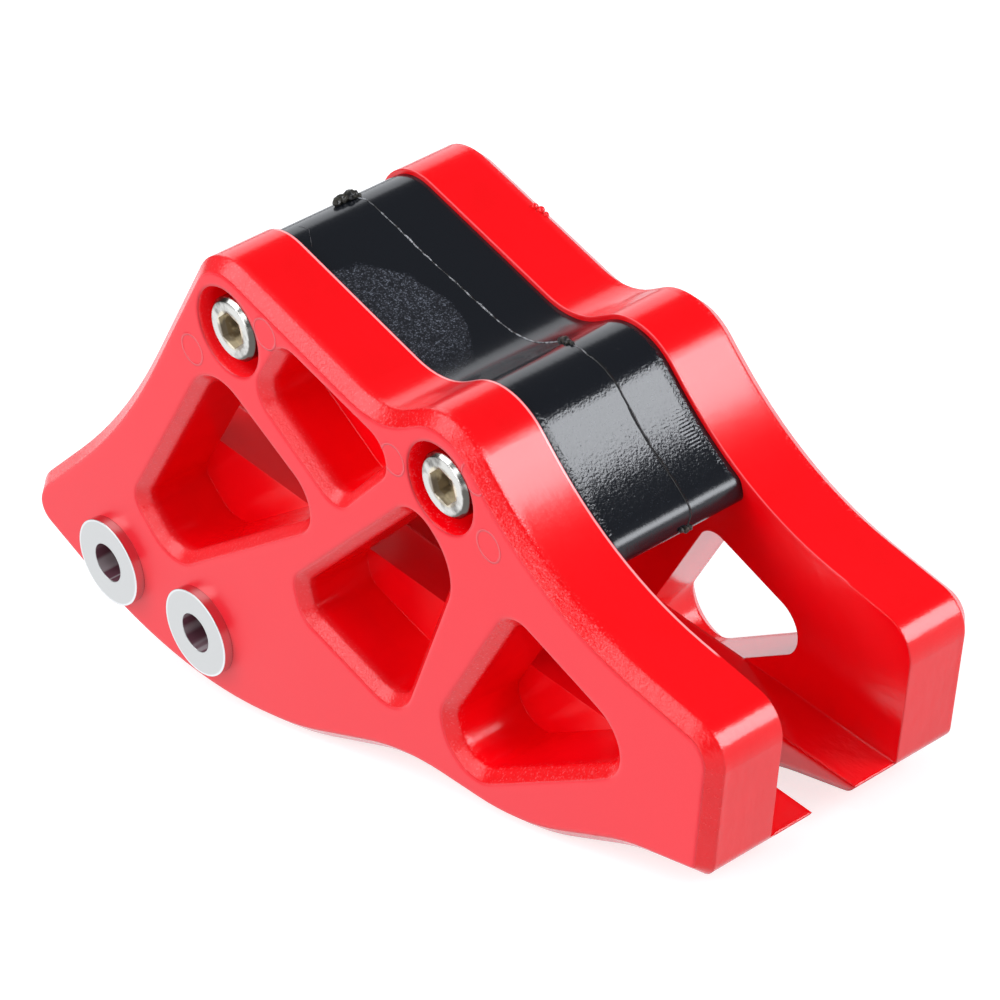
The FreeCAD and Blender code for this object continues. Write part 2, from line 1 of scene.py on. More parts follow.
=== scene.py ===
"""Looks of a motorcycle chain guide.

Two glossy red half shells, a black wear insert clamped between them, socket head clamp screws and
flanged mounting bushes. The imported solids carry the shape; this script dresses them, adds the
marks that moulding leaves, and sets up the studio and the camera.
"""

import json
import logging
import math
import random
from dataclasses import dataclass, field
from enum import Enum
from functools import reduce
from typing import Any, Iterable, Union

import bpy
from mathutils import Matrix, Vector


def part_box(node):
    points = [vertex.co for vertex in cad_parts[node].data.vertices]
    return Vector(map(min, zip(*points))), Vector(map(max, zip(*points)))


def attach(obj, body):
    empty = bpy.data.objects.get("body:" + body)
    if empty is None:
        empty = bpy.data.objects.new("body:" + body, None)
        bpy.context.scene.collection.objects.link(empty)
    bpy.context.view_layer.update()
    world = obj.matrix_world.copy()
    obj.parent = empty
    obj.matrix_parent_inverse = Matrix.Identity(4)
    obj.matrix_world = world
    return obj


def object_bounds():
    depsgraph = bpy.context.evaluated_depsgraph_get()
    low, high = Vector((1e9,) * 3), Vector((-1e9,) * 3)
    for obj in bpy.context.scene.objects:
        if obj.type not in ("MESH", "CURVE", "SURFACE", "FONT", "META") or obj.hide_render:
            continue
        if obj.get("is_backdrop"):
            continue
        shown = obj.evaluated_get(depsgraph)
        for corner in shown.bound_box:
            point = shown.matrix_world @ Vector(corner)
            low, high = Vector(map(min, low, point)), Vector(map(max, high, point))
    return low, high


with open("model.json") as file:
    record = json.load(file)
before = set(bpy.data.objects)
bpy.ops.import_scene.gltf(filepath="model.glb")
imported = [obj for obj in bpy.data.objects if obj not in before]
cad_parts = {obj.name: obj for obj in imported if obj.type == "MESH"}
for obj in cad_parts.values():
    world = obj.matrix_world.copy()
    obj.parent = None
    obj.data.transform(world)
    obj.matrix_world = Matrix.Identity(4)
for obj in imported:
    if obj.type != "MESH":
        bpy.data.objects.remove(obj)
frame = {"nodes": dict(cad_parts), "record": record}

LOG = logging.getLogger("chain_guide")
MM = 0.001
ROOT = "root"
Number = Union["Value", int, float]
Colour = tuple[float, float, float]
Triple = tuple[float, float, float]
Point = tuple[float, float]
# Where a mask starts to rise and where it is full
Span = tuple[float, float]
BLACK: Colour = (0.0, 0.0, 0.0)
COOL_WHITE: Colour = (0.97, 1.0, 1.05)
DOWN: Triple = (0.0, 0.0, -1.0)
REARWARD: Triple = (-1.0, 0.0, 0.0)
PLASTIC_IOR = 1.5
NOISE_MIDDLE = 0.5
# The Mix node's sockets in its colour mode
MIX_INPUTS = (0, 6, 7)
MIX_RESULT = 2
BEVEL_SAMPLES = 8


class Slot(Enum):
    """Material slots of the record."""

    RED = "red_nylon"
    BLACK = "black_wear_block"
    STEEL = "plated_steel"
    BUSH = "bush_metal"


class Value:
    """A number socket of a shader, whose operators add the Math nodes that they need."""

    def __init__(self, tree: "Tree", socket: bpy.types.NodeSocket) -> None:
        """Keeps the tree and the socket."""
        self.tree = tree
        self.socket = socket

    def math(self, operation: str, *others: Number, first: bool = True) -> "Value":
        """Adds one Math node.

        Args:
            operation: The node's operation.
            others: Its other inputs.
            first: True if this value is the node's first input.

        Returns:
            The node's result.
        """
        inputs = [self, *others] if first else [*others, self]
        node = self.tree.node("ShaderNodeMath", {"operation": operation}, *inputs)
        return Value(self.tree, node.outputs[0])

    def __add__(self, other: Number) -> "Value":
        """Sum."""
        return self.math("ADD", other)

    __radd__ = __add__

    def __sub__(self, other: Number) -> "Value":
        """Difference."""
        return self.math("SUBTRACT", other)

    def __rsub__(self, other: Number) -> "Value":
        """Difference from a number."""
        return self.math("SUBTRACT", other, first=False)

    def __mul__(self, other: Number) -> "Value":
        """Product."""
        return self.math("MULTIPLY", other)

    __rmul__ = __mul__

    def __truediv__(self, other: Number) -> "Value":
        """Quotient."""
        return self.math("DIVIDE", other)

    def __pow__(self, other: Number) -> "Value":
        """Power."""
        return self.math("POWER", other)

    def __abs__(self) -> "Value":
        """Size without sign."""
        return self.math("ABSOLUTE")

    def sqrt(self) -> "Value":
        """Square root."""
        return self.math("SQRT")

    def least(self, other: Number) -> "Value":
        """The smaller of two values."""
        return self.math("MINIMUM", other)

    def most(self, other: Number) -> "Value":
        """The larger of two values."""
        return self.math("MAXIMUM", other)

    def ramp(self, low: float, high: float, start: float = 0.0, end: float = 1.0) -> "Value":
        """Smooth step.

        Args:
            low: Value at which the step starts.
            high: Value at which the step ends.
            start: Result up to low.
            end: Result from high on.

        Returns:
            The eased result.
        """
        node = self.tree.node("ShaderNodeMapRange", {"interpolation_type": "SMOOTHSTEP"},
                              self, low, high, start, end)
        return Value(self.tree, node.outputs[0])

    def band(self, centre: float, half_width: float) -> "Value":
        """1 at a value, easing to 0 at half_width from it."""
        return abs(self - centre).ramp(0.0, half_width, 1.0, 0.0)

    def plateau(self, centre: float, half_width: float) -> "Value":
        """1 up to half of half_width from a value, easing to 0 at half_width from it."""
        return self.band(centre, half_width).ramp(0.0, 0.5)


class Tree:
    """The node tree of a material or a world, emptied but for its output."""

    def __init__(self, owner: Union[bpy.types.Material, bpy.types.World], output: str) -> None:
        """Empties the owner's tree and adds an output node of the given type."""
        owner.use_nodes = True
        self.tree = owner.node_tree
        self.tree.nodes.clear()
        self.output = self.tree.nodes.new(output)

    def node(self, kind: str, settings: dict[str, Any] | None = None,
             *inputs: Any, **named: Any) -> bpy.types.Node:
        """Adds one node.

        Args:
            kind: The node's type.
            settings: Its properties, set before its inputs.
            inputs: Values or links of its first sockets.
            named: Values or links of sockets by name, None to leave one alone.

        Returns:
            The node.
        """
        node = self.tree.nodes.new(kind)
        for name, setting in (settings or {}).items():
            setattr(node, name, setting)
        for key, value in [*enumerate(inputs), *named.items()]:
            if value is not None:
                self.feed(node.inputs[key], value)
        return node

    def feed(self, socket: bpy.types.NodeSocket, value: Any) -> None:
        """Sets a socket to a number or colour, or links it."""
        if isinstance(value, Value):
            value = value.socket
        if isinstance(value, bpy.types.NodeSocket):
            self.tree.links.new(value, socket)
        elif isinstance(value, tuple) and socket.type == "RGBA":
            socket.default_value = (*value, 1.0)
        else:
            socket.default_value = value

    def show(self, node: bpy.types.Node) -> None:
        """Links a shader node to the output."""
        self.tree.links.new(node.outputs[0], self.output.inputs["Surface"])

    def rays(self, *kinds: str) -> Value:
        """1 for rays of the given kinds and 0 for the rest."""
        path = self.node("ShaderNodeLightPath")
        return sum(Value(self, path.outputs[kind]) for kind in kinds).least(1.0)


@dataclass(frozen=True)
class Grain:
    """One noise pattern of a finish."""

    # Width of its lumps and their height, in millimetres
    size: float
    height: float = 0.0
    octaves: float = 2.0
    # Scale along each axis: under 1 draws the pattern out
    stretch: Triple = (1.0, 1.0, 1.0)
    # How strong the finer octaves are
    rough: float = 0.5
    # Moves the pattern, so that two of one size differ
    shift: float = 0.0


@dataclass(frozen=True)
class Specks:
    """Scattered grains of a finish."""

    # Width in millimetres
    size: float
    # Rank from 0 to 1 at which a grain begins to show and at which it shows fully
    picked: Span
    # Height in millimetres, or share of another colour
    amount: float = 1.0


class Shader(Tree):
    """Builds one node material round a Principled shader."""

    def __init__(self, name: str) -> None:
        """Makes a material with an output and a Principled shader."""
        self.material = bpy.data.materials.new(name)
        super().__init__(self.material, "ShaderNodeOutputMaterial")
        self.surface = self.node("ShaderNodeBsdfPrincipled")
        self.show(self.surface)
        self.place = self.node("ShaderNodeTexCoord").outputs["Object"]
        parts = self.node("ShaderNodeSeparateXYZ", {}, self.place)
        self.x, self.y, self.z = (Value(self, part) / MM for part in parts.outputs)

    def set(self, **values: Any) -> None:
        """Fills the Principled shader's sockets, named with underscores for spaces."""
        for name, value in values.items():
            self.feed(self.surface.inputs[name.replace("_", " ")], value)

    def noise(self, grain: Grain) -> Value:
        """Noise of a grain, about NOISE_MIDDLE on average."""
        mapped = self.node("ShaderNodeMapping", {}, self.place, (grain.shift,) * 3,
                           (0.0, 0.0, 0.0), grain.stretch)
        node = self.node("ShaderNodeTexNoise", {}, Vector=mapped.outputs[0],
                         Scale=1.0 / (grain.size * MM), Detail=grain.octaves,
                         Roughness=grain.rough)
        return Value(self, node.outputs[0])

    def scatter(self, specks: Specks) -> Value:
        """1 where a speck shows fully, down to 0 between specks."""
        node = self.node("ShaderNodeTexVoronoi", {}, Vector=self.place,
                         Scale=1.0 / (specks.size * MM))
        # Each cell has a colour of its own; the product makes one number of it, the rank
        rank = Value(self, node.outputs["Color"]) * 1.0
        return rank.ramp(*specks.picked)

    def blend(self, factor: Value, one: Any, other: Any) -> bpy.types.NodeSocket:
        """Mix of two colours, from the first at 0 to the second at 1."""
        node = self.node("ShaderNodeMix", {"data_type": "RGBA"})
        for index, value in zip(MIX_INPUTS, (factor, one, other)):
            self.feed(node.inputs[index], value)
        return node.outputs[MIX_RESULT]

    def soften(self, radius_mm: Number) -> bpy.types.NodeSocket:
        """Normal that rounds off sharp edges by a small radius."""
        return self.node("ShaderNodeBevel", {"samples": BEVEL_SAMPLES},
                         radius_mm * MM).outputs[0]

    def bump(self, height_mm: Value,
             normal: bpy.types.NodeSocket | None = None) -> bpy.types.NodeSocket:
        """Normal of a height in millimetres, on top of another normal if one is given."""
        node = self.node("ShaderNodeBump", {}, Strength=1.0, Distance=MM, Height=height_mm,
                         Normal=normal)
        return node.outputs[0]

    def round_from(self, x_mm: float, z_mm: float) -> Value:
        """Distance in millimetres from an axis along Y."""
        across, up = self.x - x_mm, self.z - z_mm
        return (across * across + up * up).sqrt()


@dataclass(frozen=True)
class MouldedRed:
    """Glossy red nylon of the half shells, with painted sheen, highlights and glow in its colour.
    """

    colour: Colour = (0.94, 0.0004, 0.005)
    deep: Colour = (0.90, 0.0003, 0.004)
    # Paler, bluer colour of the outer faces: a painted sheen of the lamps' reflection
    face_colour: Colour = (0.97, 0.013, 0.028)
    # Pale tint for painted highlights and sheen, and for the frost specks
    edge_tint: Colour = (1.0, 0.22, 0.25)
    # Colour of the painted highlight line along the near shell's inner edge
    near_edge_tint: Colour = (1.0, 0.36, 0.37)
    # Painted glow: emission on the walls round the screw heads, standing in for light that comes
    # through the thin walls
    recess_glow: Colour = (0.24, 0.0, 0.001)
    face_roughness: float = 0.34
    top_roughness: float = 0.19
    grain_roughness: float = 0.10
    rim_roughness: float = 0.12
    # Where masks rise, in millimetres from the outer faces' planes
    skin: Span = (-0.25, -0.05)
    rim: Span = (-3.2, -1.8)
    round_rim: Span = (-2.6, -1.4)
    blind_end: Span = (-6.0, -3.0)
    glow_depth: Span = (-5.0, -0.6)
    # Where masks rise along the guide, in millimetres
    worn_from: Span = (48.0, 62.0)
    pale_to: Span = (50.0, 62.0)
    wrinkled_from: Span = (96.0, 104.0)
    nose_from: Span = (100.0, 104.0)
    # Softening radii of edges, in millimetres: all of them, more at the outer rim, more at a
    # window's blind end, and less at the near shell's hidden inner edge
    edge_round: float = 0.4
    rim_round: float = 0.7
    blind_round: float = 1.3
    hidden_round: float = 0.3
    hidden_width: float = 1.4
    over_floor: Span = (-1.0, 0.5)
    # Painted highlight lines beside the insert: distance from its side and half width
    far_line: Span = (0.16, 0.18)
    near_line: Span = (0.20, 0.24)
    # They lie this near the upper edge, and none lies behind that edge's first point
    line_below: Span = (-2.6, -2.0)
    crest_lift: float = 30.0
    crest_cut: float = 1.0
    # Ejector pin marks on the outer face: x and z, radius and half width of their ring
    pins: tuple[Point, ...] = (
        (15.7, 49.5), (35.8, 56.0), (60.9, 42.2), (79.4, 33.4), (79.2, 43.5))
    pin_radius: float = 2.4
    pin_ring: float = 0.28
    pin_height: float = 0.16
    # Radii between which the recesses' painted glow ends, and its share at the bottom, where less
    # glow is a painted shade
    recess_edge: Span = (7.1, 7.3)
    bottom_glow: float = 0.25
    # Shares of the pale tint: painted highlight lines, painted highlight on the pin rings, painted
    # sheen on the rim, and the frost specks
    line_tint: float = 0.5
    pin_tint: float = 0.42
    rim_tint: float = 0.08
    frost_tint: Span = (0.16, 0.34)
    nose_frost: float = 0.1
    frost: Specks = Specks(0.24, (0.66, 1.0))
    orange: Grain = Grain(0.9, 0.006, shift=0.2)
    rim_orange_height: float = 0.07
    patches: Grain = Grain(14.0, shift=0.7)
    patch_edge: Span = (0.42, 0.60)
    drag: Grain = Grain(2.2, 0.022, 3.0, (0.12, 1.0, 0.12), 0.55)
    waves: Grain = Grain(7.0, 0.018, shift=0.3)
    deep_waves: Span = (0.35, 0.75)
    grain: Grain = Grain(0.35, 0.004, 3.0, shift=0.1)
    rim_grain_height: float = 0.05
    wrinkle: Grain = Grain(1.5, 0.016, 3.0, (0.45, 1.0, 0.45), 0.6, shift=0.9)
    nose_wrinkle_height: float = 0.045

    def edge_radius(self, s: Shader, depth: Value, inner_y: float, floor_z: Value) -> Value:
        """Softening radius: crisp towards the channel, soft outside, wide in windows.

        Args:
            s: The shader.
            depth: Distance from the outer faces, negative inside, in millimetres.
            inner_y: Distance of the channel's walls from the mid-plane, in millimetres.
            floor_z: Height of the channel floor, in millimetres.

        Returns:
            The radius in millimetres.
        """
        hidden = s.y.plateau(-inner_y, self.hidden_width)
        over_floor = (s.z - floor_z).ramp(*self.over_floor)
        blind = depth.ramp(*self.blind_end, 1.0, 0.0) * (1.0 - over_floor) * (1.0 - hidden)
        return (depth.ramp(*self.round_rim) * self.rim_round + self.edge_round
                + blind * self.blind_round - hidden * self.hidden_round)

    def near_crest(self, s: Shader, crest: list[Point]) -> Value:
        """Mask of what lies along the shells' upper edge, given by x and z of its points."""
        first_x, first_z = crest[0]
        height = s.x.ramp(first_x - self.crest_cut, first_x, first_z + self.crest_lift, first_z)
        for (x0, z0), (x1, z1) in zip(crest, crest[1:]):
            height = height + s.x.ramp(x0, x1, 0.0, z1 - z0)
        return (s.z - height).ramp(*self.line_below)

    def make(self, outer_y: float, inner_y: float, floor_at: Point, recesses: list[Point],
             crest: list[Point]) -> bpy.types.Material:
        """Builds the material.

        Args:
            outer_y: Distance of the outer faces from the mid-plane, in millimetres.
            inner_y: Distance of the channel's walls from the mid-plane, in millimetres.
            floor_at: Height and slope of the channel floor at x = 0, in millimetres.
            recesses: x and z of the screw heads' recesses, in millimetres.
            crest: x and z of points along the shells' upper edge, in millimetres.

        Returns:
            The material.
        """
        s = Shader("red_nylon_finish")
        depth = abs(s.y) - outer_y
        face = depth.ramp(*self.skin)
        rim = depth.ramp(*self.rim) * (1.0 - face)
        # Pin marks: a real relief ring, also given a paler colour as a painted highlight
        marks = face * sum(s.round_from(x, z).band(self.pin_radius, self.pin_ring)
                           for x, z in self.pins)
        # Painted highlight lines along the shells' inner upper edges, beside the insert
        on_top = self.near_crest(s, crest)
        far_offset, far_width = self.far_line
        far_line = s.y.band(inner_y + far_offset, far_width) * on_top
        near_offset, near_width = self.near_line
        near_line = s.y.plateau(-inner_y - near_offset, near_width) * on_top
        # Painted glow on the walls round the screw heads, weaker deeper in as painted shade
        walls = sum(s.round_from(x, z).ramp(*self.recess_edge, 1.0, 0.0) for x, z in recesses)
        walls = walls * depth.ramp(*self.glow_depth, self.bottom_glow, 1.0) * (1.0 - face)
        orange, drag, waves = s.noise(self.orange), s.noise(self.drag), s.noise(self.waves)
        grain, wrinkle = s.noise(self.grain), s.noise(self.wrinkle)
        rough_rim = (rim * s.x.ramp(*self.worn_from) * orange
                     * s.noise(self.patches).ramp(*self.patch_edge))
        frost = (s.scatter(self.frost) * rim * (1.0 - far_line)
                 * s.x.ramp(*self.worn_from, *self.frost_tint)
                 * s.x.ramp(*self.nose_from, 1.0, self.nose_frost))
        creases = s.x.ramp(*self.wrinkled_from) * self.nose_wrinkle_height + self.wrinkle.height
        height = (waves * self.waves.height
                  + grain * (rim * self.rim_grain_height + self.grain.height)
                  + (1.0 - face) * (drag * self.drag.height + orange * self.orange.height
                                    + wrinkle * creases)
                  + rough_rim * self.rim_orange_height + marks * self.pin_height)
        colour = s.blend(waves.ramp(*self.deep_waves), self.colour, self.deep)
        # Painted sheen: the outer faces take the paler colour
        colour = s.blend(face, colour, self.face_colour)
        # Painted sheen on the rim band, fading towards the front, plus frost specks
        pale_rim = rim * s.x.ramp(*self.pale_to, self.rim_tint, 0.0) + frost
        # Pale tint: painted highlight lines, a painted highlight on the pin marks' rings, and
        # painted sheen and frost specks on the rim
        pale = (far_line * self.line_tint).most(marks * self.pin_tint).most(pale_rim)
        colour = s.blend(pale, colour, self.edge_tint)
        # Painted highlight along the near shell's inner edge
        colour = s.blend(near_line, colour, self.near_edge_tint)
        rough = self.top_roughness + face * (self.face_roughness - self.top_roughness)
        floor_z = s.x * floor_at[1] + floor_at[0]
        s.set(Base_Color=colour,
              Roughness=rough + (grain - NOISE_MIDDLE) * self.grain_roughness
              + rough_rim * self.rim_roughness,
              Normal=s.bump(height, s.soften(self.edge_radius(s, depth, inner_y, floor_z))),
              # Emission: the painted glow round the screw heads
              IOR=PLASTIC_IOR, Emission_Color=s.blend(walls, BLACK, self.recess_glow),
              Emission_Strength=1.0)
        return s.material


@dataclass(frozen=True)
class MouldedBlack:
    """Semi-gloss black of the wear insert, with a matt patch on its long slope."""

    colour: Colour = (0.0075, 0.0090, 0.0125)
    patch_colour: Colour = (0.0060, 0.0070, 0.0110)
    speck: Colour = (0.205, 0.225, 0.275)
    roughness: float = 0.16
    patch_roughness: float = 0.28
    fine_roughness: float = 0.05
    worn_polish: float = 0.05
    # Softening radii of edges, in millimetres: all of them, more at the torn seam and the lip
    edge_round: float = 0.25
    torn_round: float = 1.1
    lip_round: float = 1.2
    # Matt patch: centre (x, y) and half sizes in millimetres, ragged edge in shares of these
    patch: tuple[float, float, float, float] = (47.6, -10.8, 11.4, 9.9)
    patch_edge: Span = (0.95, 1.03)
    patch_rag: Grain = Grain(4.0, 0.3, 3.0, shift=0.5)
    # It lies above this height and fades towards the front to this share
    patch_above: Span = (44.0, 46.0)
    patch_fade: Span = (51.0, 59.0)
    patch_faded: float = 0.25
    specks: Specks = Specks(0.155, (0.45, 1.0), 0.8)
    speck_contrast: float = 2.0
    # Where the front slope, the grit on it and the lip begin, and how far out the seam is torn
    front_from: Span = (72.0, 76.0)
    grit_from: Span = (77.0, 79.0)
    lip_from: Span = (88.6, 89.6)
    torn_from: Span = (9.9, 10.8)
    pits: Specks = Specks(0.30, (0.95, 0.97), 0.09)
    grit: Specks = Specks(0.2, (0.7, 1.0), 0.05)
    # Ribbed strip on the front slope: y and z of its middle, half sizes, pitch and height
    ribs: tuple[float, ...] = (9.2, 37.5, 1.9, 4.5, 0.42, 0.007)
    fine: Grain = Grain(0.28, 0.03)
    drag: Grain = Grain(0.55, 0.006, 3.0, (0.16, 1.0, 0.16), 0.6)
    ripples: Grain = Grain(3.2, 0.02, 3.0, (0.5, 1.0, 0.5), shift=0.4)
    bumps: Grain = Grain(0.42, 0.032, shift=0.8)
    streaks: Grain = Grain(0.38, 0.014, stretch=(0.1, 1.0, 0.1), shift=0.6)
    # Heights that come on top on the front slope and along the torn seam
    front_ripples: float = 0.04
    front_drag: float = 0.012
    torn_bumps: float = 0.08

    def patch_mask(self, s: Shader) -> Value:
        """Mask of the matt patch.

        Args:
            s: The shader.

        Returns:
            The mask.
        """
        x, y, half_x, half_y = self.patch
        across, along = (s.y - y) / half_y, (s.x - x) / half_x
        rag = (s.noise(self.patch_rag) - NOISE_MIDDLE) * self.patch_rag.height
        away = (across * across + along * along).sqrt() + rag
        return (away.ramp(*self.patch_edge, 1.0, 0.0) * s.z.ramp(*self.patch_above)
                * s.x.ramp(*self.patch_fade, 1.0, self.patch_faded))

    def rib_height(self, s: Shader) -> Value:
        """Height of the ribbed strip."""
        y, z, half_y, half_z, pitch, height = self.ribs
        wave = (s.z * (2.0 * math.pi / pitch)).math("SINE")
        return wave * s.y.band(y, half_y) * s.z.band(z, half_z) * height

    def make(self) -> bpy.types.Material:
        """Builds the material.

        Returns:
            The material.
        """
        s = Shader("black_wear_finish")
        patch = self.patch_mask(s)
        specks = s.scatter(self.specks) ** self.speck_contrast * patch * self.specks.amount
        front, lip = s.x.ramp(*self.front_from), s.x.ramp(*self.lip_from)
        worn = front * (1.0 - lip)
        torn = abs(s.y).ramp(*self.torn_from) * worn
        grit = s.scatter(self.grit) * worn * s.x.ramp(*self.grit_from) * self.grit.amount
        fine = s.noise(self.fine)
        height = (s.noise(self.ripples) * (self.ripples.height + front * self.front_ripples)
                  + s.noise(self.drag) * (self.drag.height + front * self.front_drag)
                  + s.noise(self.bumps) * (worn * self.bumps.height + torn * self.torn_bumps)
                  - s.scatter(self.pits) * worn * self.pits.amount
                  + self.rib_height(s) + s.noise(self.streaks) * lip * self.streaks.height
                  + fine * patch * self.fine.height)
        radius = torn * self.torn_round + lip * self.lip_round + self.edge_round
        ground = s.blend(patch, self.colour, self.patch_colour)
        s.set(Base_Color=s.blend(specks + grit, ground, self.speck),
              Roughness=self.roughness + patch * self.patch_roughness
              + fine * self.fine_roughness - worn * self.worn_polish,
              Normal=s.bump(height, s.soften(radius)), IOR=PLASTIC_IOR)
        return s.material


@dataclass(frozen=True)
class TornBlack:
    """Black that the mould tore: gate stubs and the parting ridge."""

    name: str = "black_stub_finish"
    colour: Colour = (0.012, 0.012, 0.012)
    # Second colour, in patches: torn grain on the stubs and a scratch's pale line, but a painted
    # highlight on the parting ridge
    other: Colour = (0.05, 0.045, 0.035)
    roughness: float = 0.30
    grain_roughness: float = 0.2
    relief: float = 0.08
    # From this x on only the first colour shows, in millimetres, eased over the fade before it
    dark_from: float = 1000.0
    fade: float = 4.0
    grain: Grain = Grain(0.3, octaves=3.0)
    grain_edge: Span = (0.3, 0.6)
    patches: Grain = Grain(1.3, shift=0.4)
    patch_edge: Span = (0.38, 0.58)

    def make(self) -> bpy.types.Material:
        """Builds the material.

        Returns:
            The material.
        """
        s = Shader(self.name)
        grain = s.noise(self.grain)
        share = (grain.ramp(*self.grain_edge) * s.noise(self.patches).ramp(*self.patch_edge)
                 * s.x.ramp(self.dark_from - self.fade, self.dark_from, 1.0, 0.0))
        s.set(Base_Color=s.blend(share, self.colour, self.other),
              Roughness=self.roughness + (grain - NOISE_MIDDLE) * self.grain_roughness,
              Normal=s.bump(grain * self.relief), IOR=PLASTIC_IOR)
        return s.material


@dataclass(frozen=True)
class Fan:
    """Painted light and dark sectors round an axis, broken up by blotches."""

    # How many light sectors there are, and how far they are turned, in radians
    count: float
    phase: float
    contrast: float
    blotchiness: float
    level: float

    def light(self, turn: Value, blotch: Value) -> Value:
        """Brightness at a turn round the axis."""
        return ((turn * self.count + self.phase).math("SINE") * self.contrast
                + (blotch - NOISE_MIDDLE) * self.blotchiness + self.level)


@dataclass(frozen=True)
class BrightPlate:
    """Bright plating of the clamp screws and nuts, with painted reflections of the studio's dark
    bands and painted shade in its colour.
    """

    # Light and dark colours of the painted reflections on the heads and nuts
    bright: Colour = (0.74, 0.72, 0.67)
    dark: Colour = (0.13, 0.12, 0.105)
    # Colours of the painted reflections and highlights in the screws' sockets
    socket_bright: Colour = (0.90, 0.80, 0.58)
    socket_dark: Colour = (0.24, 0.185, 0.12)
    roughness: float = 0.14
    grain_roughness: float = 0.08
    socket_plainness: float = 0.6
    edge_round: float = 0.35
    # Half width of the change from the rear screw to the front one, in millimetres
    change: float = 1.0
    # The socket: depth under the head's top, radii of its wall and of its floor, in millimetres
    socket_depth: Span = (0.5, 1.2)
    socket_wall: Span = (3.2, 3.6)
    socket_floor: Span = (2.8, 3.25)
    floor_share: float = 0.75
    # Radii of the head's rounded edge, and how much painted shade darkens it all round and on its
    # dark side
    edge: Span = (3.9, 4.7)
    edge_darkness: float = 0.25
    shade_turn: float = 0.5
    shade_edge: Span = (0.3, 0.95)
    shade_darkness: float = 0.9
    head_fan: Fan = Fan(2.0, 0.6, 0.35, 1.6, 0.85)
    head_lit: Span = (0.0, 0.9)
    socket_fan: Fan = Fan(3.0, 0.8, 0.5, 2.2, 0.42)
    socket_lit: Span = (0.1, 0.9)
    grain: Grain = Grain(0.6, 0.006, 3.0)
    blotches: Grain = Grain(1.5, shift=0.3)

    def make(self, head_y: float, axes: list[Point]) -> bpy.types.Material:
        """Builds the material.

        Args:
            head_y: Where the heads' tops are across the guide, in millimetres.
            axes: x and z of the two screws, rear one first, in millimetres.

        Returns:
            The material.
        """
        s = Shader("plated_steel_finish")
        (rear_x, rear_z), (front_x, front_z) = axes
        middle = (rear_x + front_x) / 2
        is_front = s.x.ramp(middle - self.change, middle + self.change)
        across = s.x - (is_front * (front_x - rear_x) + rear_x)
        up = s.z - (is_front * (front_z - rear_z) + rear_z)
        away, turn = (across * across + up * up).sqrt(), up.math("ARCTAN2", across)
        grain, blotch = s.noise(self.grain), s.noise(self.blotches)
        sunk = (s.y - head_y).ramp(*self.socket_depth) * away.ramp(*self.socket_wall, 1.0, 0.0)
        sunk = sunk.most(away.ramp(*self.socket_floor, self.floor_share, 0.0))
        edge = away.ramp(*self.edge)
        shade = (turn + self.shade_turn).math("COSINE").ramp(*self.shade_edge) * edge
        # Painted reflections and shade on the head: light and dark sectors, darker at its edge and
        # on its dark side
        lit = (self.head_fan.light(turn, blotch) - edge * self.edge_darkness
               - shade * self.shade_darkness).ramp(*self.head_lit)
        # Painted reflections in the socket: bright and dark sectors
        socket_reflections = self.socket_fan.light(turn, blotch).ramp(*self.socket_lit)
        head = s.blend(lit, self.dark, self.bright)
        well = s.blend(socket_reflections, self.socket_dark, self.socket_bright)
        s.set(Base_Color=s.blend(sunk, head, well),
              Metallic=1.0 - sunk * self.socket_plainness,
              Roughness=self.roughness + grain * self.grain_roughness,
              Normal=s.bump(grain * self.grain.height, s.soften(self.edge_round)))
        return s.material


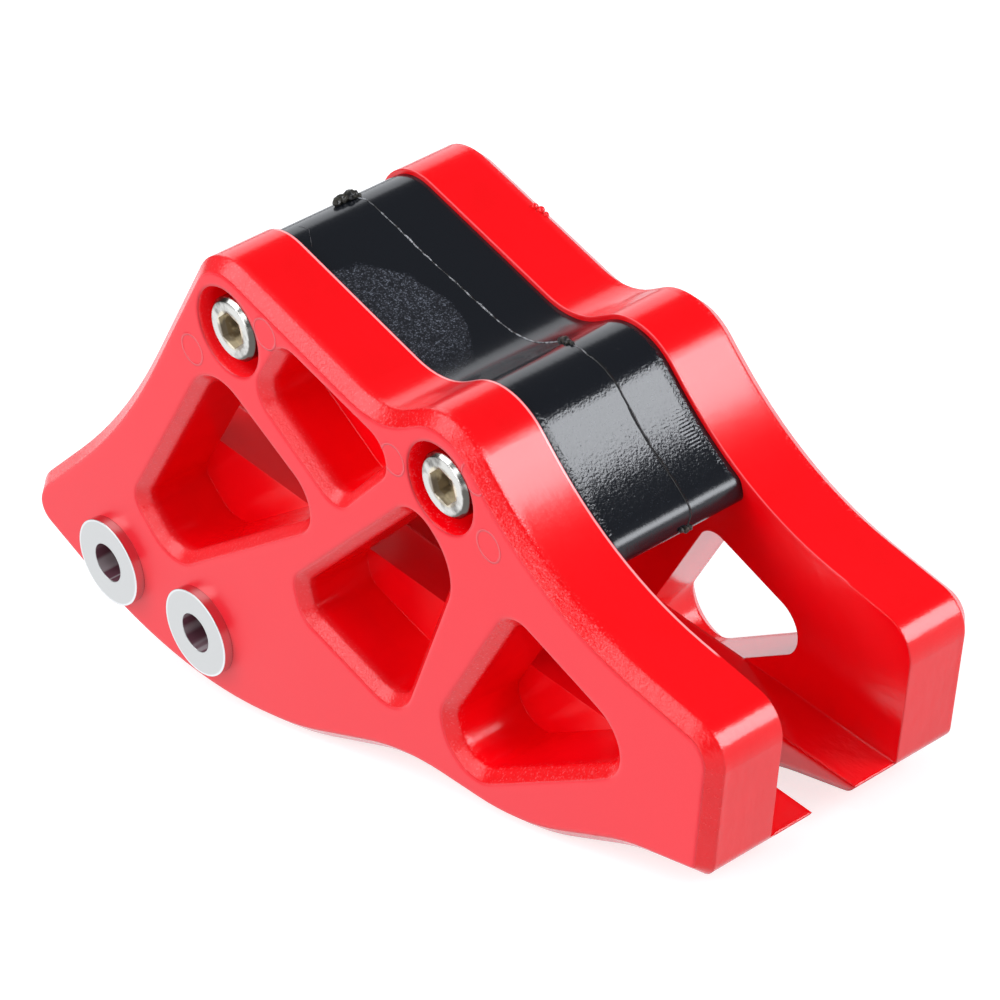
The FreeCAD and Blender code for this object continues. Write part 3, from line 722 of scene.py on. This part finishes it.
@dataclass(frozen=True)
class TurnedBush:
    """Pale metal of the bushes: satin face, polished side, dull bore, whose colour holds painted
    reflections.
    """

    colour: Colour = (0.66, 0.655, 0.635)
    # Colour of the painted highlight along the flange's edge
    edge_colour: Colour = (0.90, 0.90, 0.89)
    # The bore's colours are painted reflections of the red shells, with pale stripes
    bore_dark: Colour = (0.19, 0.070, 0.098)
    bore_bright: Colour = (0.50, 0.42, 0.44)
    face_roughness: float = 0.34
    side_roughness: float = 0.12
    bore_roughness: float = 0.45
    grain_roughness: float = 0.08
    bore_plainness: float = 0.85
    edge_round: float = 0.25
    # Where masks change, in millimetres from the flange's face and from the bore's radius
    skin: Span = (-0.2, -0.02)
    bore_edge: Span = (0.05, 0.3)
    # Painted highlight line on the face: distance inside the flange's edge and half width, in
    # millimetres
    line: Span = (0.15, 0.3)
    # Turning marks: radians per millimetre and height in millimetres
    turning_rate: float = 14.0
    turning_height: float = 0.0015
    grain: Grain = Grain(0.5, 0.002, 3.0)
    stripes: Grain = Grain(1.1, octaves=1.0, stretch=(1.0, 0.02, 0.25), shift=0.35)
    stripe_edge: Span = (0.50, 0.66)

    def make(self, axes: list[Point], face_y: float, flange_radius: float,
             bore_radius: float) -> bpy.types.Material:
        """Builds the material.

        Args:
            axes: x and z of the bushes' axes, in millimetres.
            face_y: Distance of the flanges' faces from the mid-plane, in millimetres.
            flange_radius: Radius of the flanges, in millimetres.
            bore_radius: Radius of the bores, in millimetres.

        Returns:
            The material.
        """
        s = Shader("bush_metal_finish")
        away = reduce(Value.least, (s.round_from(x, z) for x, z in axes))
        face = (abs(s.y) - face_y).ramp(*self.skin)
        bore = (away - bore_radius).ramp(*self.bore_edge, 1.0, 0.0) * (1.0 - face)
        turning = (away * self.turning_rate).math("SINE") * self.turning_height
        grain = s.noise(self.grain)
        # Painted reflections in the bore: pale stripes on red
        wall = s.blend(s.noise(self.stripes).ramp(*self.stripe_edge),
                       self.bore_dark, self.bore_bright)
        # Painted highlight along the flange's edge on the face
        inset, half_width = self.line
        line = away.band(flange_radius - inset, half_width) * face
        metal = s.blend(line, self.colour, self.edge_colour)
        rough = (face * (self.face_roughness - self.side_roughness)
                 + bore * (self.bore_roughness - self.side_roughness) + self.side_roughness)
        s.set(Base_Color=s.blend(bore, metal, wall),
              Metallic=1.0 - bore * self.bore_plainness,
              Roughness=rough + (grain - NOISE_MIDDLE) * self.grain_roughness,
              Normal=s.bump(turning * face + grain * self.grain.height,
                            s.soften(self.edge_round)))
        return s.material


def deselect() -> None:
    """Deselects everything."""
    bpy.ops.object.select_all(action="DESELECT")


def select_alone(piece: bpy.types.Object) -> None:
    """Selects a piece alone and makes it active."""
    deselect()
    piece.select_set(True)
    bpy.context.view_layer.objects.active = piece


def settle(piece: bpy.types.Object, name: str, material: bpy.types.Material) -> None:
    """Applies a piece's place to its mesh, smooths it, dresses it and hangs it on the guide.

    Args:
        piece: The finished mesh object, active and alone selected.
        name: Its name.
        material: Its finish.
    """
    bpy.ops.object.transform_apply(location=True, rotation=True, scale=True)
    bpy.ops.object.shade_smooth()
    piece.name = piece.data.name = name
    piece.data.materials.clear()
    piece.data.materials.append(material)
    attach(piece, ROOT)
    LOG.info("made %s with %d faces", name, len(piece.data.polygons))


def surface(node: str, origin: Triple, direction: Triple) -> Vector | None:
    """Point where a ray meets a CAD node, in millimetres."""
    hit, place, _, _ = frame["nodes"][node].ray_cast(Vector(origin) * MM, Vector(direction))
    return place / MM if hit else None


@dataclass
class Flash:
    """Thin line of flash that the mould left on the insert."""

    name: str = "insert_parting_ridge"
    node: str = "wear_insert"
    # Where it runs across the guide: pairs of x and y
    course: tuple[Point, ...] = (
        (25.0, 2.0), (27.6, 2.6), (31.0, 2.45), (35.1, 2.5), (38.7, 2.4), (43.4, 2.6),
        (48.1, 2.8), (52.7, 3.0), (57.3, 3.3), (60.5, 3.4), (64.5, 4.3), (71.0, 2.6),
        (74.0, 2.3), (76.4, 2.5), (79.2, 2.7), (82.8, 2.6), (87.4, 2.75), (89.2, 2.4),
        (90.2, 2.3))
    # How it ends down the lip: pairs of y and z
    ending: tuple[Point, ...] = ((2.3, 29.6), (2.25, 28.9), (1.7, 28.1), (1.3, 27.5))
    step: float = 0.7
    radius: float = 0.13
    resolution: int = 2
    # How much thicker it is on the front slope, from where to where
    front_growth: float = 0.7
    front_from: float = 72.0
    front_to: float = 76.0
    # Chance: how far it strays to each side, in millimetres, and shares of the radius
    stray: float = 0.06
    thickness: Span = (0.6, 1.15)
    stray_seed: int = 7
    thickness_seed: int = 11
    # Height from which rays look down, and x from which they look at the lip, in millimetres
    ray_z: float = 100.0
    ray_x: float = 120.0

    def across(self, x: float) -> float:
        """Where the ridge is across the guide at x."""
        for (x0, y0), (x1, y1) in zip(self.course, self.course[1:]):
            if x <= x1:
                return y0 + (y1 - y0) * max(0.0, (x - x0) / (x1 - x0))
        return self.course[-1][1]

    def points(self) -> list[Vector]:
        """Finds the ridge on the insert.

        Returns:
            Points on the insert's surface, in millimetres.
        """
        chance = random.Random(self.stray_seed)
        first_x, last_x = self.course[0][0], self.course[-1][0]
        rays = []
        for i in range(int((last_x - first_x) / self.step) + 1):
            x = first_x + i * self.step
            y = self.across(x) + chance.uniform(-self.stray, self.stray)
            rays.append(((x, y, self.ray_z), DOWN))
        for y, z in self.ending:
            y += chance.uniform(-self.stray, self.stray)
            rays.append(((self.ray_x, y, z), REARWARD))
        places = [surface(self.node, *ray) for ray in rays]
        return [place for place in places if place is not None]

    def build(self, material: bpy.types.Material) -> None:
        """Lays a thin tube along the points, half sunk into the insert.

        Args:
            material: Its finish.
        """
        points = self.points()
        chance = random.Random(self.thickness_seed)
        deselect()
        bpy.ops.curve.primitive_nurbs_path_add()
        piece = bpy.context.object
        curve = piece.data
        curve.splines.clear()
        spline = curve.splines.new("POLY")
        spline.points.add(len(points) - 1)
        for point, place in zip(spline.points, points):
            point.co = (*(place * MM), 1.0)
            steep = (place.x - self.front_from) / (self.front_to - self.front_from)
            growth = 1.0 + self.front_growth * min(1.0, max(0.0, steep))
            point.radius = chance.uniform(*self.thickness) * growth
        curve.dimensions = "3D"
        curve.bevel_depth = self.radius * MM
        curve.bevel_resolution = self.resolution
        curve.use_fill_caps = True
        piece.location = (0.0, 0.0, 0.0)
        bpy.ops.object.convert(target="MESH")
        settle(bpy.context.object, self.name, material)


@dataclass
class Stub:
    """A torn gate stub: a few lumps grown together, pressed onto a CAD node."""

    name: str
    node: str
    # Way in which a lump is pressed onto the node
    towards: Triple
    # Each lump: a point near the node's surface and its radius, in millimetres
    lumps: tuple[tuple[float, float, float, float], ...]
    seed: int
    # Shares of a lump's radius: depth of its clouds, their size, shake of its points
    ruggedness: float = 0.60
    cloud_size: float = 0.9
    shake: float = 0.03
    # Height of a lump's centre over the surface, as a share of its radius
    proud: float = 0.35
    # Range of a lump's scale along each axis
    scale: Span = (0.8, 1.2)
    subdivisions: int = 4
    # Distance from which a ray looks for the surface, in millimetres
    approach: float = 15.0

    def seat(self, aim: Vector, radius: float) -> Vector:
        """Finds a lump's place on the node.

        Args:
            aim: Point near the node's surface, in millimetres.
            radius: The lump's radius, in millimetres.

        Returns:
            The lump's centre, in millimetres.
        """
        way = Vector(self.towards).normalized()
        place = surface(self.node, tuple(aim - way * self.approach), tuple(way))
        if place is None:
            raise RuntimeError(f"{self.name} misses {self.node}")
        return place - way * radius * self.proud

    def make_lump(self, aim: Vector, radius: float, chance: random.Random) -> bpy.types.Object:
        """Makes one rough lump.

        Args:
            aim: Point near the node's surface, in millimetres.
            radius: Its radius, in millimetres.
            chance: Source of its proportions.

        Returns:
            The lump.
        """
        deselect()
        bpy.ops.mesh.primitive_ico_sphere_add(subdivisions=self.subdivisions, radius=radius * MM,
                                              location=self.seat(aim, radius) * MM)
        lump = bpy.context.object
        lump.scale = [chance.uniform(*self.scale) for _ in range(3)]
        bpy.ops.object.transform_apply(location=False, rotation=False, scale=True)
        bpy.ops.object.mode_set(mode="EDIT")
        bpy.ops.mesh.select_all(action="SELECT")
        bpy.ops.transform.vertex_random(offset=radius * MM * self.shake, uniform=0.0,
                                        normal=1.0, seed=self.seed)
        bpy.ops.object.mode_set(mode="OBJECT")
        clouds = bpy.data.textures.new(self.name + "_clouds", "CLOUDS")
        clouds.noise_scale = radius * MM * self.cloud_size
        rough = lump.modifiers.new("rough", "DISPLACE")
        rough.texture = clouds
        rough.texture_coords = "GLOBAL"
        rough.strength = radius * MM * self.ruggedness
        bpy.ops.object.modifier_apply(modifier=rough.name)
        return lump

    @staticmethod
    def unite(whole: bpy.types.Object, others: Iterable[bpy.types.Object]) -> None:
        """Unites lumps in one closed skin.

        Args:
            whole: The lump that takes the others in, left active and alone selected.
            others: The lumps that go.
        """
        for lump in others:
            select_alone(whole)
            union = whole.modifiers.new("union", "BOOLEAN")
            union.operation = "UNION"
            union.solver = "EXACT"
            union.object = lump
            bpy.ops.object.modifier_apply(modifier=union.name)
            select_alone(lump)
            bpy.ops.object.delete()
        select_alone(whole)

    def build(self, material: bpy.types.Material, slot: Slot) -> None:
        """Makes the stub.

        Args:
            material: Its finish.
            slot: Not used.
        """
        chance = random.Random(self.seed)
        whole, *others = [self.make_lump(Vector((x, y, z)), radius, chance)
                          for x, y, z, radius in self.lumps]
        self.unite(whole, others)
        settle(whole, self.name, material)


# The parting ridge's pale grey patches before x = 76 are a painted highlight on the thin ridge
RIDGE_WITH_PAINTED_HIGHLIGHT = TornBlack("black_ridge_finish", other=(0.38, 0.39, 0.41), roughness=0.16,
                         relief=0.02, dark_from=76.0)
SCRATCH_FINISH = TornBlack("black_scratch_finish", other=(0.10, 0.10, 0.11))
SCRATCH = Flash("insert_scratch", course=((26.6, -8.7), (28.5, -8.4), (30.3, -9.6), (31.9, -10.7)),
                ending=(), step=0.5, radius=0.05)
STUBS = (
    Stub("rear_gate_stub", "wear_insert", DOWN, (
        (25.6, -0.9, 64.0, 0.70), (25.4, -0.1, 64.0, 0.85), (25.6, 0.6, 64.0, 0.50),
        (25.7, 1.4, 64.0, 0.85), (25.8, 2.1, 64.0, 0.65), (26.3, 2.6, 64.0, 0.35)), 3,
        proud=0.75),
    Stub("hump_gate_stub", "wear_insert", DOWN, (
        (65.6, 4.2, 49.0, 0.40), (66.8, 3.9, 49.0, 0.50), (68.0, 3.4, 49.0, 0.55),
        (69.1, 3.0, 49.0, 0.45), (70.2, 2.8, 49.0, 0.35)), 5),
    Stub("lip_gate_stub", "wear_insert", (-1.0, 0.0, 0.3), (
        (90.1, 1.7, 27.3, 0.45), (90.1, 0.9, 27.4, 0.55), (90.1, 0.1, 27.6, 0.40)), 9),
)
FAR_STUB = Stub("far_shell_stub", "nut_side_shell", (0.0, -0.5, -0.87), (
    (41.4, 21.6, 58.0, 0.50), (42.3, 21.9, 57.5, 0.60), (43.3, 22.0, 57.0, 0.45)), 13,
    ruggedness=0.2)


@dataclass
class Guide:
    """Dresses the frame's nodes from the places that the frame gives, in millimetres."""

    record: dict[str, Any]
    outer_y: float = field(init=False)
    inner_y: float = field(init=False)
    bush_face_y: float = field(init=False)
    flange_radius: float = field(init=False)
    head_y: float = field(init=False)
    bush_axes: list[Point] = field(init=False)
    bore_radius: float = field(init=False)
    screw_axes: list[Point] = field(init=False)
    # Two rays find the channel floor: their x, y and height
    floor_xs: tuple[float, float] = (80.0, 100.0)
    floor_y: float = -6.0
    floor_ray_z: float = 20.0
    # Rays find the upper edge: first x, last x and step, distance outside the channel, height
    crest_span: tuple[int, int, int] = (20, 107, 6)
    crest_outset: float = 1.0
    crest_ray_z: float = 120.0

    def __post_init__(self) -> None:
        """Reads the frame."""
        self.outer_y = -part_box("bolt_side_shell")[0].y / MM
        self.inner_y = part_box("wear_insert")[1].y / MM
        self.bush_face_y = -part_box("bolt_side_front_bush")[0].y / MM
        self.flange_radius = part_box("bolt_side_front_bush")[1].x / MM
        self.head_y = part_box("front_bolt")[0].y / MM
        bores = [mount for mount in self.record["mounts"] if mount["kind"] == "bore"]
        self.bush_axes = [(bore["pos_m"][0] / MM, bore["pos_m"][2] / MM) for bore in bores]
        self.bore_radius = bores[0]["dims"]["r_mm"]
        self.screw_axes = []
        for screw in ("rear_bolt", "front_bolt"):
            low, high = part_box(screw)
            self.screw_axes.append(((low.x + high.x) / 2 / MM, (low.z + high.z) / 2 / MM))

    def dress(self, material: bpy.types.Material, names: Iterable[str]) -> None:
        """Gives CAD nodes a finish.

        Args:
            material: The finish.
            names: The nodes.
        """
        for name in names:
            for slot in frame["nodes"][name].material_slots:
                slot.material = material
            LOG.info("dressed %s in %s", name, material.name)

    def floor_line(self) -> Point:
        """Finds the channel floor.

        Returns:
            Its height at x = 0, in millimetres, and its slope.
        """
        rear, front = (surface("bolt_side_shell", (x, self.floor_y, self.floor_ray_z), DOWN)
                       for x in self.floor_xs)
        slope = (front.z - rear.z) / (front.x - rear.x)
        return rear.z - slope * rear.x, slope

    def crest_line(self) -> list[Point]:
        """Finds the shells' upper edge.

        Returns:
            x and z of points along it, in millimetres.
        """
        y = -self.inner_y - self.crest_outset
        places = [surface("bolt_side_shell", (float(x), y, self.crest_ray_z), DOWN)
                  for x in range(*self.crest_span)]
        return [(place.x, place.z) for place in places if place is not None]

    def build(self) -> None:
        """Dresses every node and adds the marks of moulding."""
        red = MouldedRed().make(self.outer_y, self.inner_y, self.floor_line(), self.screw_axes,
                                self.crest_line())
        torn = TornBlack().make()
        self.dress(red, ("bolt_side_shell", "nut_side_shell"))
        self.dress(MouldedBlack().make(), ("wear_insert",))
        # The ridge's pale patches are a painted highlight
        Flash().build(RIDGE_WITH_PAINTED_HIGHLIGHT.make())
        SCRATCH.build(SCRATCH_FINISH.make())
        for stub in STUBS:
            stub.build(torn, Slot.BLACK)
        FAR_STUB.build(red, Slot.RED)
        self.dress(BrightPlate().make(self.head_y, self.screw_axes),
                   ("rear_bolt", "front_bolt", "rear_nut", "front_nut"))
        self.dress(TurnedBush().make(self.bush_axes, self.bush_face_y, self.flange_radius,
                                     self.bore_radius),
                   [f"{half}_{end}_bush" for half in ("bolt_side", "nut_side")
                    for end in ("front", "rear")])


@dataclass(frozen=True)
class Softbox:
    """A rectangular lamp that looks at the guide."""

    name: str
    # Where it hangs, in degrees, its sides and its distance in metres
    azimuth: float
    elevation: float
    width: float
    height: float
    radiance: float
    lights: bool = True
    mirrored: bool = True
    distance: float = 1.2

    def hang(self, target: Vector) -> None:
        """Hangs the lamp.

        Args:
            target: Where it points.
        """
        a, e = math.radians(self.azimuth), math.radians(self.elevation)
        back = Vector((math.cos(e) * math.cos(a), math.cos(e) * math.sin(a), math.sin(e)))
        light = bpy.data.lights.new(self.name, "AREA")
        light.shape = "RECTANGLE"
        light.size, light.size_y = self.width, self.height
        light.energy = self.radiance * math.pi * self.width * self.height
        light.color = COOL_WHITE
        lamp = bpy.data.objects.new(self.name, light)
        lamp.location = target + back * self.distance
        lamp.rotation_euler = (-back).to_track_quat("-Z", "Y").to_euler()
        lamp.visible_camera = False
        lamp.visible_diffuse = self.lights
        lamp.visible_glossy = self.mirrored
        bpy.context.collection.objects.link(lamp)


@dataclass
class Studio:
    """Pale floor, white surround, soft lamps and the photograph's camera."""

    # The camera's axes as rows (right, up, back) and its place, in the guide's frame
    right: Triple = (0.62062, 0.76081, -0.18974)
    up: Triple = (-0.21139, 0.39537, 0.89387)
    back: Triple = (0.75508, -0.51464, 0.40620)
    place: Triple = (0.56444, -0.35125, 0.29978)
    focal_px: float = 4772.2
    frame_px: float = 1000.0
    sensor: float = 36.0
    clip_start: float = 0.05
    lamps: tuple[Softbox, ...] = (
        Softbox("key_softbox", 35.0, 27.0, 0.55, 0.45, 9.5, mirrored=False),
        Softbox("key_in_mirrors", 35.0, 18.0, 0.55, 0.69, 9.5, lights=False),
        Softbox("high_left_softbox", 240.0, 50.0, 0.8, 0.8, 3.4),
        Softbox("low_left_softbox", 272.0, 15.0, 0.8, 0.8, 2.4),
        Softbox("front_softbox", 0.0, 15.0, 0.8, 0.8, 1.1, mirrored=False),
        Softbox("rear_lamp", 180.0, 50.0, 0.6, 0.6, 1.0, mirrored=False),
        Softbox("rear_card", 146.0, 23.0, 0.6, 0.75, 1.35, lights=False))
    surround: float = 0.5
    # Floor: side and gap under the guide in metres, grey, its glow to the camera and in mirrors
    floor_size: float = 6.0
    floor_gap: float = 0.0002
    floor_grey: float = 0.55
    floor_glow: float = 0.72
    floor_mirrored: float = 1.1
    # Dome of flags: radius in metres, segments, rings and how grey the cloth is
    flag_radius: float = 2.6
    flag_segments: int = 48
    flag_rings: int = 24
    flag_glow: float = 0.11

    def make_camera(self) -> None:
        """Sets the camera as in the photograph."""
        data = bpy.data.cameras.new("camera")
        data.sensor_width = self.sensor
        data.lens = self.focal_px / self.frame_px * self.sensor
        data.clip_start = self.clip_start
        camera = bpy.data.objects.new("camera", data)
        turn = Matrix((self.right, self.up, self.back)).transposed().to_4x4()
        camera.matrix_world = Matrix.Translation(Vector(self.place)) @ turn
        bpy.context.collection.objects.link(camera)
        bpy.context.scene.camera = camera

    @staticmethod
    def dress(thing: bpy.types.Object, name: str) -> Tree:
        """Gives a stage object a material that isn't sampled as a lamp.

        Args:
            thing: The object.
            name: The material's name.

        Returns:
            The material's tree, still without a surface.
        """
        material = bpy.data.materials.new(name)
        tree = Tree(material, "ShaderNodeOutputMaterial")
        material.cycles.emission_sampling = "NONE"
        thing.data.materials.append(material)
        return tree

    def make_floor(self, low: Vector, high: Vector) -> None:
        """Lays the floor under the guide, white to the camera but for the shadow.

        Args:
            low: Lowest corner of the guide's box.
            high: Its highest corner.
        """
        deselect()
        bpy.ops.mesh.primitive_plane_add(
            size=self.floor_size, location=((low.x + high.x) / 2, 0.0, low.z - self.floor_gap))
        floor = bpy.context.object
        floor.name = "floor"
        tree = self.dress(floor, "floor_finish")
        diffuse = tree.node("ShaderNodeBsdfDiffuse", Color=(self.floor_grey,) * 3)
        glow = tree.node("ShaderNodeEmission",
                         Strength=tree.rays("Is Camera Ray") * self.floor_glow)
        lit = tree.node("ShaderNodeAddShader", {}, diffuse.outputs[0], glow.outputs[0])
        white = tree.node("ShaderNodeEmission", Color=COOL_WHITE, Strength=self.floor_mirrored)
        tree.show(tree.node("ShaderNodeMixShader", {},
                            tree.rays("Is Glossy Ray", "Is Transmission Ray"),
                            lit.outputs[0], white.outputs[0]))
        floor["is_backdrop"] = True

    def make_flags(self, target: Vector) -> None:
        """Hangs a black dome round the stage, seen only by reflections, as black flags are.

        Args:
            target: Its centre.
        """
        deselect()
        bpy.ops.mesh.primitive_uv_sphere_add(segments=self.flag_segments,
                                             ring_count=self.flag_rings,
                                             radius=self.flag_radius, location=target)
        flags = bpy.context.object
        flags.name = "black_flags"
        tree = self.dress(flags, "flag_finish")
        tree.show(tree.node("ShaderNodeEmission", Strength=self.flag_glow))
        flags.visible_camera = flags.visible_diffuse = flags.visible_shadow = False
        flags.visible_transmission = flags.visible_volume_scatter = False
        flags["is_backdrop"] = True

    def make_world(self) -> None:
        """Makes a surround that is white to the camera and mirrors and plainer as a lamp."""
        world = bpy.data.worlds.new("surround")
        bpy.context.scene.world = world
        tree = Tree(world, "ShaderNodeOutputWorld")
        world.cycles.sampling_method = "NONE"
        shown = tree.rays("Is Camera Ray", "Is Glossy Ray", "Is Transmission Ray")
        tree.show(tree.node("ShaderNodeBackground",
                            Strength=shown.ramp(0.0, 1.0, self.surround, 1.0)))

    def build(self, low: Vector, high: Vector) -> None:
        """Sets up all of it round the guide.

        Args:
            low: Lowest corner of the guide's box.
            high: Its highest corner.
        """
        middle = (low + high) / 2
        self.make_camera()
        self.make_floor(low, high)
        self.make_flags(middle)
        self.make_world()
        for lamp in self.lamps:
            lamp.hang(middle)
        bpy.context.scene.view_settings.view_transform = "Standard"


def main() -> None:
    """Builds the guide's looks and its studio."""
    logging.basicConfig(level=logging.INFO)
    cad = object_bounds()
    Guide(frame["record"]).build()
    Studio().build(*cad)


if __name__ == "__main__":
    main()
